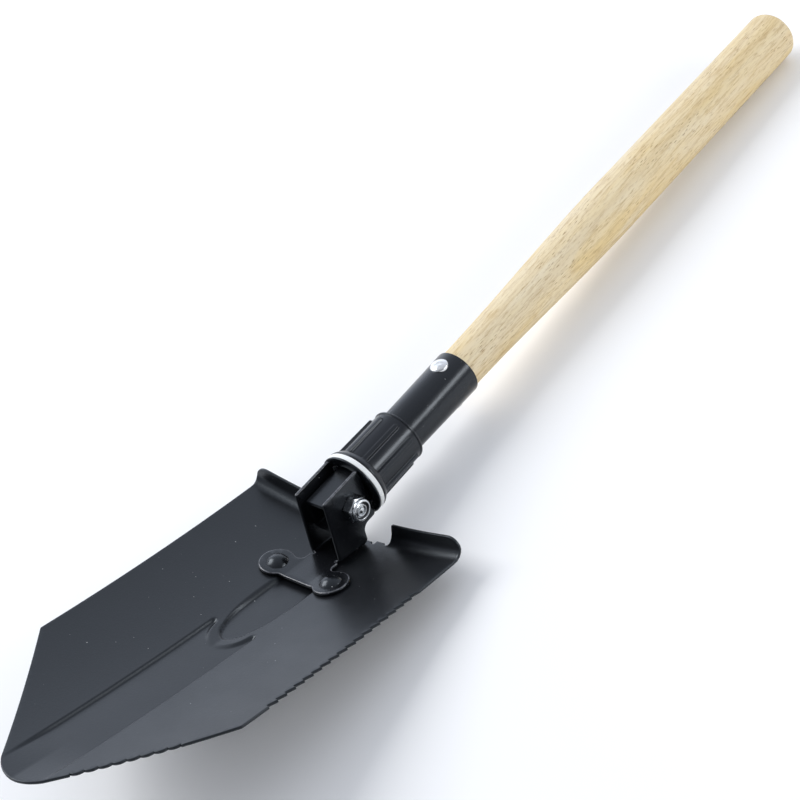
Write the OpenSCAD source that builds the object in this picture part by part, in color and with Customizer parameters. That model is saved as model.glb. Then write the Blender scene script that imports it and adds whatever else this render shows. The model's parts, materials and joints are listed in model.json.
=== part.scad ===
// Folding camp shovel: a dished steel blade riveted to a U-shaped hinge bracket, which turns on a
// bolt through the flattened tang of a wooden-handled socket. A ribbed collar screws along the
// socket and presses a nylon washer and a steel plate against the bracket's square ends.
//
// Design frame: origin on the pivot bolt, +Y along the handle to its end, +X to the nut side,
// +Z out of the dished side. lay() then tilts and lifts the whole shovel onto the ground plane.

/* [Blade] */
// Half of the blade's width
blade_half = 76.4; // [60:0.1:80]
// Distance from the pivot to the blade's side corners
corner_s = 149.5; // [120:0.5:160]
// Distance from the pivot to the blade's tip
tip_s = 230; // [215:0.5:236]
// Radius of the rounded tip
tip_r = 23; // [10:0.5:26]
// Sheet thickness
sheet_t = 1.6; // [1.2:0.1:2]
// Height of the rear flange above its bend
flange_rise = 5.8; // [4:0.1:8]
// Radius of the flange's bend
flange_bend = 5.5; // [4:0.5:7]
// Radius of the flange's outer corners
flange_corner = 9; // [4:0.5:10]
// Number of saw teeth on one long edge
saw_teeth = 18; // [8:1:20]
// Pitch of the saw teeth
saw_pitch = 5.87; // [4:0.01:6]
// Depth of the saw teeth
saw_depth = 2; // [0.5:0.1:2.4]
// Number of rounded lobes on one tip edge
lobes = 8; // [3:1:8]
// Pitch of the lobes
lobe_pitch = 6.65; // [5:0.05:6.65]
// Depth of the cusps between the lobes
lobe_depth = 1.2; // [0.5:0.1:1.5]

/* [Hinge bracket] */
// Outer half width over the side plates
bracket_half = 11.3; // [11:0.1:12]
// Thickness of the bracket's plate
bracket_t = 2; // [1.6:0.1:2]
// Height of the side plates above the pivot
cheek_top = 15.8; // [14:0.1:16]
// Distance from the pivot to the square rear ends
cheek_rear = 12.6; // [12:0.1:12.6]
// Radius on the rear ends' corners
cheek_corner = 2; // [2:0.1:3]
// Rivet position, to each side
rivet_x = 20.2; // [19:0.1:21]
// Rivet position, ahead of the pivot
rivet_s = 38.3; // [36:0.1:40]
// Radius of the round ears
ear_r = 10.4; // [9:0.1:10.5]

/* [Pivot] */
// Radius of the pivot bolt
bolt_r = 3.96; // [3.9:0.01:3.98]
// Nut and bolt head width across flats
hex_af = 13; // [12:0.1:13]
// Height of the locknut
nut_h = 8; // [7:0.1:8]

/* [Collar and socket] */
// Radius of the thrust plate and nylon washer
washer_r = 19.5; // [18.5:0.1:19.5]
// Position of the thrust plate's front face
plate_y = 12.85; // [12.85:0.01:13]
// Thickness of the thrust plate
plate_t = 1.15; // [1:0.05:1.3]
// Thickness of the nylon washer
nylon_t = 3.1; // [2.5:0.1:3.1]
// Length of the locking collar
collar_l = 38.3; // [36:0.1:38.3]
// Radius of the collar's body between its ribs
collar_r = 15.9; // [15.5:0.1:16.5]
// Number of grip ribs
collar_ribs = 9; // [6:1:12]
// Radius of the thread's crest on the socket
thread_r = 14.03; // [13.9:0.01:14.03]
// Radius of the socket tube at its mouth
mouth_r = 14.1; // [14:0.05:14.4]
// Position of the socket tube's mouth
mouth_y = 109.7; // [105:0.1:115]

/* [Handle] */
// Radius of the wood where it leaves the socket
wood_neck_r = 12.6; // [12.6:0.05:12.8]
// Radius of the wood's grip
wood_r = 16.5; // [15:0.1:17]
// Position of the handle's end
wood_end = 455.7; // [380:0.1:520]
// Radius of the rounded end
wood_round = 5; // [3:0.5:8]

/* [Resting] */
// Tilt that lets the heel and the handle's end share the ground
rest_tilt = 2.03; // [1.8:0.01:2.3]
// Height of the pivot above the ground
pivot_h = 32.45; // [31:0.01:34]
// Shift along the ground that centres the shovel on the origin
shift_y = -113.52; // [-130:0.01:-90]

/* [Hidden] */
$fn = 96;

black_steel = [0.09, 0.09, 0.10];
black_plastic = [0.12, 0.12, 0.13];
zinc = [0.72, 0.73, 0.75];
white_nylon = [0.93, 0.93, 0.92];
pale_wood = [0.87, 0.75, 0.55];

// The blade's centreline rises towards the tip along a parabola, and its wings rise to each side.
heel_z = -30.6;
lift = 0.1995;
curl = 0.000316;
wing_base = 0.5;
wing_slope = 0.08;
wing_curve = 0.00125;
// Plan of the tip: the straight tip edges touch its circle
corner = [blade_half, -corner_s];
tip_centre = [0, tip_r - tip_s];
tip_reach = norm(corner - tip_centre);
tip_swing = atan2(corner[1] - tip_centre[1], corner[0]) - acos(tip_r / tip_reach);
touch = tip_centre + tip_r * [cos(tip_swing), sin(tip_swing)]; // end of the straight edge
// Distances to the first saw tooth, and from the side corner to the first lobe
saw_first = 26.4;
lobe_first = 29.6;
// Slant of each tooth's steep side
saw_hook = 0.35;
// Pressed floors: the tongue's lies this far under the centreline, and the channel's this far over it
tongue_drop = 0.6;
channel_rise = 0.4;
// Half widths of channel and tongue, and where the tongue starts to narrow and ends
channel_half = 14.8;
channel_wall = 2.2;
tongue_half = 11.4;
tongue_s = 72;
tongue_l = 26;
// The ridge between tongue and channel is bounded by an ellipse with this centre and length. Its front
// slope is this share of the ellipse, and its arms run out over this length
ridge_s = 88;
ridge_l = 19;
ridge_soft = 0.18;
arm_fade = 4;
// Length over which the channel runs out before the tip
channel_fade = 36;
// The bend starts just behind the pivot; the neck between the flanges stays flat
bend_s = -1.2;
neck_half = 21;
// Rear ends of the neck: its middle, the nick beside the bracket, and the tab beyond the nick
neck_y = 3;
nick_y = 1.4;
nick_x = [11, 13.6];
tab_y = 4.3;
// Round relief between the neck and each flange
relief_r = 2;
relief_x = 21.3;
relief_y = 4.7;
flange_inner = 25;
flange_lean = 80;
heel_angle = -atan(lift + 2 * curl * bend_s);
bend_arc = flange_bend * (flange_lean - heel_angle) * PI / 180;

function smooth(t) = let(u = max(0, min(1, t))) u * u * (3 - 2 * u);
function rise(s) = heel_z + lift * s + curl * s * s;
function wing(x) = wing_base + wing_slope * abs(x) + wing_curve * x * x;
// The tongue's wall rises from a crisp foot, and grows steeper towards the tongue's end
function tongue_wall(s) = 0.3 - 0.26 * smooth((s - 60) / 36);
function tongue(x, s) =
    let(out = (norm([x / tongue_half, max(0, s - tongue_s) / tongue_l]) - 1) / tongue_wall(s))
    (1 - sin(90 * max(0, min(1, out)))) * smooth((s - 26) / 8);
function channel(x, s) =
    smooth((channel_half + channel_wall - abs(x)) / channel_wall)
    * smooth((norm([x / channel_half, (s - ridge_s) / ridge_l]) - 1 + ridge_soft) / ridge_soft)
    * smooth((s - ridge_s) / arm_fade) * smooth((tip_s - 2 - s) / channel_fade);
function dish(x, s) = let(t = tongue(x, s), c = channel(x, s))
    wing(x) * (1 - max(t, c)) - tongue_drop * t + channel_rise * max(0, c - t);

// One profile across the blade: [y, z, angle] after going a distance q past the bend's start
function flat_at(s) = [-s, rise(s), -atan(lift + 2 * curl * s)];
function cove_at(q) = q < bend_arc
    ? let(a = heel_angle + q / flange_bend * 180 / PI)
      [-bend_s + flange_bend * (sin(a) - sin(heel_angle)),
       rise(bend_s) + flange_bend * (cos(heel_angle) - cos(a)), a]
    : let(e = cove_at(bend_arc - 0.0001), d = q - bend_arc)
      [e[0] + d * cos(flange_lean), e[1] + d * sin(flange_lean), flange_lean];
// Length of sheet past the bend's start, less where the outer corner is rounded
function flange_len(x) = let(over = min(flange_corner, max(0, abs(x) - blade_half + flange_corner)))
    bend_arc + flange_rise - flange_corner + sqrt(flange_corner * flange_corner - over * over);
function row_at(x, i) = i < len(rows) ? flat_at(rows[i])
    : let(f = (i - len(rows) + 1) / cove_rows)
      abs(x) <= neck_half ? flat_at(bend_s - f * (bend_s + tab_y + 1)) : cove_at(f * flange_len(x));
function top_at(x, i) = let(p = row_at(x, i)) [x, p[0], p[1] + dish(x, -p[0])];
function low_at(x, i) = let(p = row_at(x, i), g = wing_slope * sign(x) + 2 * wing_curve * x,
        n = [-g * cos(p[2]), -sin(p[2]), cos(p[2])])
    top_at(x, i) - sheet_t * n / norm(n);

half_cols = [0, 5, 9, tongue_half, 13, channel_half, 15.9, channel_half + channel_wall, neck_half,
             23.2, 28, 36, 50, 64, 69, 73, 78];
cols = [for (k = [len(half_cols) - 1:-1:1]) -half_cols[k], for (x = half_cols) x];
rows = [for (s = [240:-12:120]) s, for (s = [112:-6:28]) s, 20, 13, 6, bend_s];
cove_rows = 8;

// Frame of the bracket's base: it follows the blade's slope beside the plates
base_slope = (rise(46) - rise(0)) / 46;
base_pitch = atan(base_slope);
base_z = rise(0) + wing(bracket_half) + 0.12;
base_front = 45.4;
base_rear = 0.4;
// Side plates: front edge at the top and bottom, lower edge, and the step down to the base
cheek_front = -15.6;
cheek_toe = -21.6;
cheek_low = -16.8;
cheek_waist = 2;
cheek_fillet = 4.5;
rivet_shank_r = 3;
rivet_gap = 0.03;
crease_x = 8.5;
ear_roll = 6.8;

// Swing radius that the socket's front end stays clear of
swing_clear = 23.5;
// Tang: half width, height, reach ahead of the pivot, shoulder radius and wall
tang_half = 9.2;
tang_h = 20.4;
tang_front = 13;
tang_shoulder = 3.6;
tang_wall = 2.4;
bush_r = 6;
pin_r = 2.5;
pin_gap = 0.02;
pin_y = [32, 44];
shank_r = 11.9;
shank_end = 60;
sleeve_end = 52.3;
step_r = 12.75;
bore_r = 12;
bore_gap = 0.05;
collar_y = plate_y + plate_t + nylon_t + 0.1;
thread_gap = 0.07;
slip_r = 14.15;
handle_rivet_y = 98.8;
handle_rivet_r = 2.5;
handle_rivet_gap = 0.05;
wood_start = 62;

module lay() {
    translate([0, shift_y, pivot_h]) rotate([-rest_tilt, 0, 0]) children();
}

// Turns a shape drawn around Z into one around the handle's axis, starting at y
module along_handle(y) {
    translate([0, y, 0]) rotate([-90, 0, 0]) children();
}

// Turns a shape drawn around Z into one around the pivot, starting at x
module along_pivot(x) {
    translate([x, 0, 0]) rotate([0, 90, 0]) children();
}

// Frame on the base plate's underside; on an ear it is rolled to follow the wing
module on_base() {
    translate([0, 0, base_z]) rotate([-base_pitch, 0, 0]) children();
}

module on_ear(side) {
    on_base() translate([side * crease_x, 0, 0]) rotate([0, -side * ear_roll, 0])
        translate([-side * crease_x, 0, 0]) children();
}

module at_rivet(side) {
    on_ear(side) translate([side * rivet_x, -rivet_s / cos(base_pitch), 0]) children();
}

module blade_sheet() {
    n = len(rows) + cove_rows;
    m = len(cols);
    tops = [for (i = [0:n - 1]) for (x = cols) top_at(x, i)];
    lows = [for (i = [0:n - 1]) for (x = cols) low_at(x, i)];
    function t(i, j) = i * m + j;
    function b(i, j) = n * m + i * m + j;
    function quad(p, q, r, s) = [[p, q, r], [p, r, s]];
    faces = [
        for (i = [0:n - 2]) for (j = [0:m - 2]) each quad(t(i, j), t(i + 1, j), t(i + 1, j + 1), t(i, j + 1)),
        for (i = [0:n - 2]) for (j = [0:m - 2]) each quad(b(i, j), b(i, j + 1), b(i + 1, j + 1), b(i + 1, j)),
        for (j = [0:m - 2]) each quad(t(0, j), t(0, j + 1), b(0, j + 1), b(0, j)),
        for (j = [0:m - 2]) each quad(t(n - 1, j + 1), t(n - 1, j), b(n - 1, j), b(n - 1, j + 1)),
        for (i = [0:n - 2]) each quad(t(i + 1, 0), t(i, 0), b(i, 0), b(i + 1, 0)),
        for (i = [0:n - 2]) each quad(t(i, m - 1), t(i + 1, m - 1), b(i + 1, m - 1), b(i, m - 1))
    ];
    polyhedron(points = concat(tops, lows), faces = faces, convexity = 8);
}

// Plan of the blade: straight sides, two tip edges and the rounded tip
module blade_plan() {
    steps = 20;
    sweep = 2 * (90 + tip_swing);
    polygon([[-blade_half, 20], [blade_half, 20], corner,
             for (i = [0:steps]) let(a = tip_swing - sweep * i / steps) tip_centre + tip_r * [cos(a), sin(a)],
             [-corner[0], corner[1]]]);
}

// Saw teeth: each ramp runs in towards the tip, and the next tooth steps out
module saw_cut() {
    clear_x = blade_half + 3;
    for (i = [0:saw_teeth - 1]) {
        s = saw_first + i * saw_pitch;
        polygon([[blade_half, -s], [clear_x, -s], [clear_x, -s - saw_pitch], [blade_half, -s - saw_pitch],
                 [blade_half - saw_depth, -s - saw_pitch + saw_hook]]);
    }
}

// Cusps that leave a row of rounded lobes along the tip edge on the same side
module lobe_cut() {
    margin = 1;
    lobe_r = (lobe_pitch * lobe_pitch / 4 + lobe_depth * lobe_depth) / (2 * lobe_depth);
    translate(corner) rotate(atan2(touch[1] - corner[1], touch[0] - corner[0])) difference() {
        translate([lobe_first, -lobe_depth]) square([lobes * lobe_pitch, lobe_depth + margin]);
        for (i = [0:lobes - 1])
            translate([lobe_first + (i + 0.5) * lobe_pitch, -lobe_r]) circle(lobe_r);
    }
}

// Slot between the neck and the flange's slightly slanted inner end, with a round relief
module flange_notch(side) {
    depth = 12;
    translate([side * relief_x, relief_y, 0]) cylinder(r = relief_r, h = 90, center = true);
    mirror([side < 0 ? 1 : 0, 0, 0])
        translate([0, relief_y + depth, 0]) rotate([90, 0, 0]) linear_extrude(depth)
            polygon([[relief_x - relief_r, -45], [relief_x + relief_r, -45], [relief_x + relief_r, -28],
                     [flange_inner, -20], [flange_inner, 12], [relief_x - relief_r, 12]]);
}

// Everything behind the neck's stepped rear edge
module neck_cut() {
    far = 20;
    reach = relief_x;
    translate([0, 0, heel_z]) linear_extrude(40, center = true)
        polygon([[-reach, far], [-reach, tab_y], [-nick_x[1], tab_y], [-nick_x[1], nick_y],
                 [-nick_x[0], nick_y], [-nick_x[0], neck_y], [nick_x[0], neck_y], [nick_x[0], nick_y],
                 [nick_x[1], nick_y], [nick_x[1], tab_y], [reach, tab_y], [reach, far]]);
}

module blade() {
    lay() color(black_steel) difference() {
        intersection() {
            blade_sheet();
            linear_extrude(160, center = true) difference() {
                blade_plan();
                saw_cut();
                lobe_cut();
            }
        }
        neck_cut();
        for (side = [-1, 1]) {
            flange_notch(side);
            at_rivet(side) cylinder(r = rivet_shank_r + rivet_gap, h = 20, center = true);
        }
    }
}

// One side plate, drawn in the Y-Z plane
module cheek_plan() {
    foot = base_z + bracket_t / 2; // inside the base plate, at the pivot
    inner_y = cheek_rear - cheek_corner;
    fillet_centre = [cheek_waist + cheek_fillet + 0.1, cheek_low - cheek_fillet];
    difference() {
        union() {
            polygon([[cheek_front, cheek_top], [inner_y, cheek_top], [cheek_rear, cheek_top - cheek_corner],
                     [cheek_rear, cheek_low + cheek_corner], [inner_y, cheek_low], [cheek_waist, cheek_low],
                     [cheek_waist, cheek_low - cheek_fillet], [base_rear, foot],
                     [cheek_toe, foot - base_slope * cheek_toe]]);
            translate([inner_y, cheek_top - cheek_corner]) circle(cheek_corner);
            translate([inner_y, cheek_low + cheek_corner]) circle(cheek_corner);
            translate([cheek_waist, cheek_low - cheek_fillet]) square(cheek_fillet + 0.1);
        }
        translate(fillet_centre) circle(cheek_fillet);
    }
}

module base_plan() {
    translate([-bracket_half, cheek_toe + 0.6]) square([2 * bracket_half, base_rear - cheek_toe - 0.6]);
    translate([-crease_x, -base_front]) square([2 * crease_x, base_front]);
}

module ear_plan(side) {
    far = rivet_s / cos(base_pitch);
    neck_r = 3.2;
    intersection() {
        translate([side > 0 ? crease_x : -60, -60]) square([60 - crease_x, 60]);
        difference() {
            union() {
                translate([side * rivet_x, -far]) circle(ear_r);
                translate([side * (crease_x + 2), -far - 2.6]) square([9, 12], center = true);
            }
            translate([side * 10.6, -far - 9.8]) circle(neck_r);
            translate([side * 10.6, -far + 9.2]) circle(neck_r + 1);
        }
    }
}

module hinge_bracket() {
    lay() color(black_steel) difference() {
        union() {
            for (side = [-1, 1])
                translate([side > 0 ? bracket_half - bracket_t : -bracket_half, 0, 0])
                    rotate([90, 0, 90]) linear_extrude(bracket_t) cheek_plan();
            on_base() linear_extrude(bracket_t) base_plan();
            for (side = [-1, 1]) on_ear(side) linear_extrude(bracket_t - 0.2) ear_plan(side);
        }
        along_pivot(-20) cylinder(r = bolt_r + 0.1, h = 40);
        for (side = [-1, 1])
            at_rivet(side) cylinder(r = rivet_shank_r + rivet_gap, h = 20, center = true);
    }
}

// Domed heads on the ears, and flush tails behind the blade
module blade_rivets() {
    dome_r = 6.4;
    dome_h = 3.2;
    ball_r = (dome_r * dome_r + dome_h * dome_h) / (2 * dome_h);
    seat = bracket_t - 0.18;
    tail = -sheet_t - 1.3;
    lay() color(black_steel) for (side = [-1, 1]) at_rivet(side) {
        intersection() {
            translate([0, 0, seat + dome_h - ball_r]) sphere(ball_r);
            translate([0, 0, seat]) cylinder(r = dome_r + 1, h = dome_h + 1);
        }
        translate([0, 0, tail]) cylinder(r = rivet_shank_r, h = seat - tail + 0.5);
        translate([0, 0, tail - 1]) cylinder(r = 5, h = 1.02);
    }
}

module pivot_bolt() {
    head_h = 5.3;
    washer_t = 1.6;
    head_x = -bracket_half - washer_t - head_h;
    lay() color(zinc) {
        intersection() {
            along_pivot(head_x) cylinder(r = hex_af / sqrt(3), h = head_h, $fn = 6);
            along_pivot(head_x - 0.6) cylinder(r1 = hex_af / 2 - 0.6, r2 = hex_af / 2 + 7, h = 7.6);
        }
        along_pivot(head_x + head_h - 0.5) cylinder(r = bolt_r, h = bracket_half * 2 + washer_t + nut_h + 1);
    }
}

module bolt_washer() {
    lay() color(zinc) along_pivot(-bracket_half - 1.6) difference() {
        cylinder(r = 8, h = 1.6);
        translate([0, 0, -1]) cylinder(r = bolt_r + 0.2, h = 4);
    }
}

// Locknut: chamfered hexagon, round crown and a groove for the insert
module pivot_nut() {
    hex_h = 6;
    lay() color(zinc) along_pivot(bracket_half) difference() {
        union() {
            intersection() {
                cylinder(r = hex_af / sqrt(3), h = hex_h, $fn = 6);
                translate([0, 0, -7 + hex_h]) cylinder(r1 = hex_af / 2 + 7, r2 = hex_af / 2 - 0.1, h = 7);
            }
            translate([0, 0, hex_h - 0.1]) cylinder(r = 6.2, h = nut_h - hex_h - 0.4);
            translate([0, 0, nut_h - 0.51]) cylinder(r1 = 6.2, r2 = 5.7, h = 0.51);
        }
        translate([0, 0, -1]) cylinder(r = bolt_r + 0.03, h = nut_h + 2);
        translate([0, 0, nut_h - 2]) cylinder(r = 5.3, h = 3);
    }
}

module nut_insert() {
    lay() color([0.2, 0.22, 0.25]) along_pivot(bracket_half + nut_h - 1.98) difference() {
        cylinder(r = 5.27, h = 1.6);
        translate([0, 0, -1]) cylinder(r = bolt_r + 0.03, h = 4);
    }
}

module pivot_bush() {
    lay() color(zinc) along_pivot(-tang_half) difference() {
        cylinder(r = bush_r, h = 2 * tang_half);
        translate([0, 0, -1]) cylinder(r = bolt_r + 0.04, h = 2 * tang_half + 2);
    }
}

// Section of the flattened tang, smaller all round by the inset: flat faces and round shoulders
module tang_section(inset) {
    steps = 10;
    r = tang_shoulder - inset;
    centre = [tang_half - tang_shoulder, tang_h / 2 - tang_shoulder];
    polygon([for (k = [0:3], i = [0:steps]) let(a = 90 * (k + i / steps))
        [centre[0] * (k == 0 || k == 3 ? 1 : -1) + r * cos(a), centre[1] * (k < 2 ? 1 : -1) + r * sin(a)]]);
}

module tang() {
    lay() color(black_steel) difference() {
        union() {
            along_handle(-tang_front) linear_extrude(tang_front + swing_clear) tang_section(0);
            along_handle(swing_clear - 0.02) cylinder(r = shank_r, h = shank_end - swing_clear);
        }
        along_handle(-tang_front - 1) linear_extrude(tang_front + 17) tang_section(tang_wall);
        along_handle(14) cylinder(r = shank_r - 3.5, h = shank_end);
        along_pivot(-20) cylinder(r = bush_r + 0.02, h = 40);
        for (y = pin_y) translate([0, y, 0]) along_pivot(-20) cylinder(r = pin_r + pin_gap, h = 40);
    }
}

module tang_pins() {
    half_l = step_r - 0.35;
    lay() color(zinc) for (y = pin_y)
        translate([0, y, 0]) along_pivot(-half_l) cylinder(r = pin_r, h = 2 * half_l);
}

// Steel tube: a reduced front end for the sleeve, then a slightly flared socket
module socket_tube() {
    lay() color(black_steel) difference() {
        rotate([-90, 0, 0]) rotate_extrude()
            polygon([[bore_r, swing_clear], [step_r, swing_clear], [step_r, sleeve_end + 0.2],
                     [13.4, sleeve_end + 0.2], [mouth_r, mouth_y - 0.5], [mouth_r - 0.4, mouth_y],
                     [wood_neck_r + bore_gap, mouth_y], [bore_r, wood_start - 1]]);
        for (y = pin_y) translate([0, y, 0]) along_pivot(-20) cylinder(r = pin_r + pin_gap, h = 40);
        translate([0, handle_rivet_y, -25]) cylinder(r = handle_rivet_r + handle_rivet_gap, h = 50);
    }
}

module thread_sleeve() {
    lay() color(black_steel) rotate([-90, 0, 0]) rotate_extrude()
        polygon([[step_r + 0.02, swing_clear], [thread_r - 1, swing_clear], [thread_r, swing_clear + 1],
                 [thread_r, sleeve_end - 1], [thread_r - 0.8, sleeve_end], [step_r + 0.02, sleeve_end]]);
}

module thrust_plate() {
    lay() color(black_steel) along_handle(plate_y) difference() {
        cylinder(r = washer_r, h = plate_t);
        translate([0, 0, -1]) cylinder(r = slip_r, h = plate_t + 2);
    }
}

module nylon_washer() {
    lay() color(white_nylon) along_handle(plate_y + plate_t) difference() {
        union() {
            cylinder(r = washer_r, h = nylon_t - 0.4);
            translate([0, 0, nylon_t - 0.4]) cylinder(r1 = washer_r, r2 = washer_r - 0.4, h = 0.4);
        }
        translate([0, 0, -1]) cylinder(r = slip_r, h = nylon_t + 2);
    }
}

module collar_rib() {
    rib_w = 3.1;
    rib_start = 5;
    rib_end = 33.4;
    rotate([0, 90, 0]) translate([0, 0, thread_r + 1]) linear_extrude(3) {
        translate([-rib_end + rib_w / 2, 0]) circle(rib_w / 2);
        translate([-rib_end + rib_w / 2, -rib_w / 2]) square([rib_end - rib_start - rib_w / 2, rib_w]);
    }
}

module locking_collar() {
    rim_r = 15.3;
    rim_y = 3.2;
    lay() color(black_plastic) along_handle(collar_y) difference() {
        union() {
            rotate_extrude() polygon([[thread_r, 0], [washer_r - 0.1, 0], [washer_r, 0.6],
                [washer_r - 0.4, 1.6], [17.6, 4.2], [collar_r, 4.8], [collar_r, collar_l - 4],
                for (a = [0:15:90]) [rim_r - 1 + cos(a), collar_l - 1 + sin(a)],
                [thread_r, collar_l]]);
            intersection() {
                for (k = [0:collar_ribs - 1]) rotate(360 / collar_ribs * k + 20) collar_rib();
                translate([0, 0, rim_y]) cylinder(r1 = 17.7, r2 = 17.2, h = collar_l);
            }
        }
        translate([0, 0, -1]) cylinder(r = thread_r + thread_gap, h = collar_l + 2);
    }
}

// Radius of the turned handle at a distance y from the pivot
function wood_at(y) = wood_neck_r + (wood_r - wood_neck_r) * smooth((y - mouth_y + 1.7) / 160);

module handle() {
    steps = 24;
    swell = [for (i = [0:steps]) let(y = mouth_y + 160 * i / steps) [wood_at(y), y]];
    lay() color(pale_wood) difference() {
        rotate([-90, 0, 0]) rotate_extrude() polygon([[0, wood_start], [bore_r - 0.1, wood_start],
            for (p = swell) p,
            for (a = [0:10:90])
                [wood_r - wood_round * (1 - cos(a)), wood_end - wood_round * (1 - sin(a))],
            [0, wood_end]]);
        translate([0, handle_rivet_y, -25]) cylinder(r = handle_rivet_r + handle_rivet_gap, h = 50);
    }
}

// Rivet through the socket and the wood, with its head shaped to the tube
module handle_rivet() {
    head_r = 5.3;
    crown = 16.1;
    ball = 9;
    lay() color(zinc) difference() {
        union() {
            translate([0, handle_rivet_y, -15.6]) cylinder(r = handle_rivet_r, h = 29.5);
            intersection() {
                translate([0, handle_rivet_y, 11]) cylinder(r = head_r, h = 8);
                translate([0, handle_rivet_y, crown - ball]) sphere(ball);
            }
            translate([0, handle_rivet_y, -16.8]) cylinder(r1 = 3.4, r2 = 4, h = 1.4);
        }
        difference() {
            along_handle(handle_rivet_y - 8) cylinder(r = mouth_r, h = 16);
            translate([0, handle_rivet_y, -25]) cylinder(r = handle_rivet_r, h = 50);
        }
    }
}

module rivet_washer() {
    lay() color(zinc) difference() {
        translate([0, handle_rivet_y, -15.38]) cylinder(r = 5.3, h = 3);
        along_handle(handle_rivet_y - 8) cylinder(r = mouth_r, h = 16);
        translate([0, handle_rivet_y, -25]) cylinder(r = handle_rivet_r + handle_rivet_gap, h = 50);
    }
}

blade();
hinge_bracket();
blade_rivets();
pivot_bolt();
bolt_washer();
pivot_nut();
nut_insert();
pivot_bush();
tang();
tang_pins();
socket_tube();
thread_sleeve();
thrust_plate();
nylon_washer();
locking_collar();
handle();
handle_rivet();
rivet_washer();
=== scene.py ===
"""Looks of the folding camp shovel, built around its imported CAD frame.

Shapes are worked out in the pivot's frame, in millimetres: the origin is on the pivot bolt, +Y runs
along the handle to its end, +X points to the locknut and +Z out of the dished side of the blade.
On the blade, s is the distance from the pivot towards the tip, which is -Y.
"""
import json
import math

import bmesh
import bpy
import numpy as np
from mathutils import Matrix, Quaternion, Vector
from mathutils.geometry import delaunay_2d_cdt


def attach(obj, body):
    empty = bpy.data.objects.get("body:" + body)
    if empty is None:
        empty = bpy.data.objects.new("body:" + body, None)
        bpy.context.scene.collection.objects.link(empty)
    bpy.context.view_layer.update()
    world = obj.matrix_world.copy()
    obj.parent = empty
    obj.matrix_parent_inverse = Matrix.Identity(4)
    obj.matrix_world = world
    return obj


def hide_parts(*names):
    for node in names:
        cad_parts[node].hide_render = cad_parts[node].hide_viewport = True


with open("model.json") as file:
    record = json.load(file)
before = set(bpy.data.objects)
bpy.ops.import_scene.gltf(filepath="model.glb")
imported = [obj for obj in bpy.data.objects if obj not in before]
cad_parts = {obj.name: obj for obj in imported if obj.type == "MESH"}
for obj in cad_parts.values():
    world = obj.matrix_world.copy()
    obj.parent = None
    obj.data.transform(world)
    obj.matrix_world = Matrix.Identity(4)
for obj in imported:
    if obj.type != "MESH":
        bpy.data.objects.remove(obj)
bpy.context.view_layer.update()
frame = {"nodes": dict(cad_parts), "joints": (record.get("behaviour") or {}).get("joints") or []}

# ---------------- frame

MM = 0.001
joints = {j["name"]: j for j in frame["joints"]}
pivot = Vector(joints["blade_fold"]["pos_m"])
along = Vector(joints["washer_travel"]["axis"]).normalized()
across = Vector((1, 0, 0))
TURN = Matrix((across, along, across.cross(along))).transposed()
LAY = Matrix.Translation(pivot) @ TURN.to_4x4() @ Matrix.Scale(MM, 4)

# Distances under which two points of a mesh are one, and an edge is a sliver.
MERGE, SLIVER = 0.004 * MM, 0.002 * MM

# ---------------- driving sizes, mm

# Blade: half width, corner and tip in plan, then the sheet and its centreline's rise to the tip.
BLADE_HALF, CORNER_S, TIP_S, TIP_R = 76.4, 149.5, 230.0, 23.0
SHEET_T, EDGE_R = 1.6, 0.42
HEEL_Z, LIFT, CURL = -30.6, 0.1995, 0.000316

# The wings' height over the centreline.
WING_BASE, WING_SLOPE, WING_CURVE = 0.5, 0.08, 0.00125

# The tongue: its flat, where its wall gets steep, and where it starts out of the neck.
TONGUE_DROP, TONGUE_HALF, TONGUE_S, TONGUE_L = 0.6, 11.4, 72.0, 26.0
WALL_SIDE, WALL_GAIN, WALL_S, WALL_L = 0.3, 0.26, 60.0, 36.0
ROOT_S, ROOT_L = 26.0, 8.0

# The channel from the ridge round the tongue's end to the tip, and the ridge's two arms.
CHANNEL_RISE, CHANNEL_HALF, CHANNEL_WALL, CHANNEL_FADE, CHANNEL_STOP = 0.4, 14.8, 2.2, 36.0, 2.0
RIDGE_S, RIDGE_L, RIDGE_SOFT, ARM_FADE = 88.0, 19.0, 0.18, 4.0

# The bend into the rear flanges, the nicked end of the neck, and the round relief between them.
BEND_S, BEND_R, FLANGE_LEAN, FLANGE_RISE, FLANGE_CORNER = -1.2, 5.5, math.radians(80), 5.8, 9.0
NECK_Y, NICK_Y, TAB_Y, NICK_IN, NICK_OUT, NICK_R = 3.0, 1.4, 4.3, 11.0, 13.6, 0.5
RELIEF_X, RELIEF_Y, RELIEF_R, FLANGE_INNER = 21.3, 4.7, 2.0, 25.0

# Saw teeth and round lobes along the +X edge.
SAW_FIRST, SAW_TEETH, SAW_PITCH, SAW_DEPTH, SAW_HOOK = 26.4, 18, 5.87, 2.0, 0.35
LOBE_FIRST, LOBES, LOBE_PITCH, LOBE_DEPTH = 29.6, 8, 6.65, 1.2

# Hinge bracket: its plates, the side plates' outline, then its ears and their rivets.
PLATE_HALF, PLATE_T, PLATE_EDGE, FOLD_R, BASE_L, BASE_GAP = 11.3, 2.0, 0.75, 1.6, 46.0, 0.12
CHEEK_TOP, CHEEK_REAR, CHEEK_FRONT, CHEEK_LOW, CHEEK_WAIST = 15.8, 12.6, -15.6, -16.8, 2.0
RIVET_X, RIVET_S, EAR_R, EAR_ROLL, CREASE_X = 20.2, 38.3, 10.4, math.radians(6.8), 8.5
RIVET_HOLE_R, EAR_PULL = 3.1, 0.1

# Pivot bolt, locknut and plain washer. Hexagons are chamfered at 30 degrees.
BOLT_R, HEX_AF, NUT_H, BOLT_WASHER_T, BOLT_WASHER_R, HEAD_H = 3.96, 13.0, 8.0, 1.6, 8.0, 5.3
CHAMFER = math.tan(math.radians(30))

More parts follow.
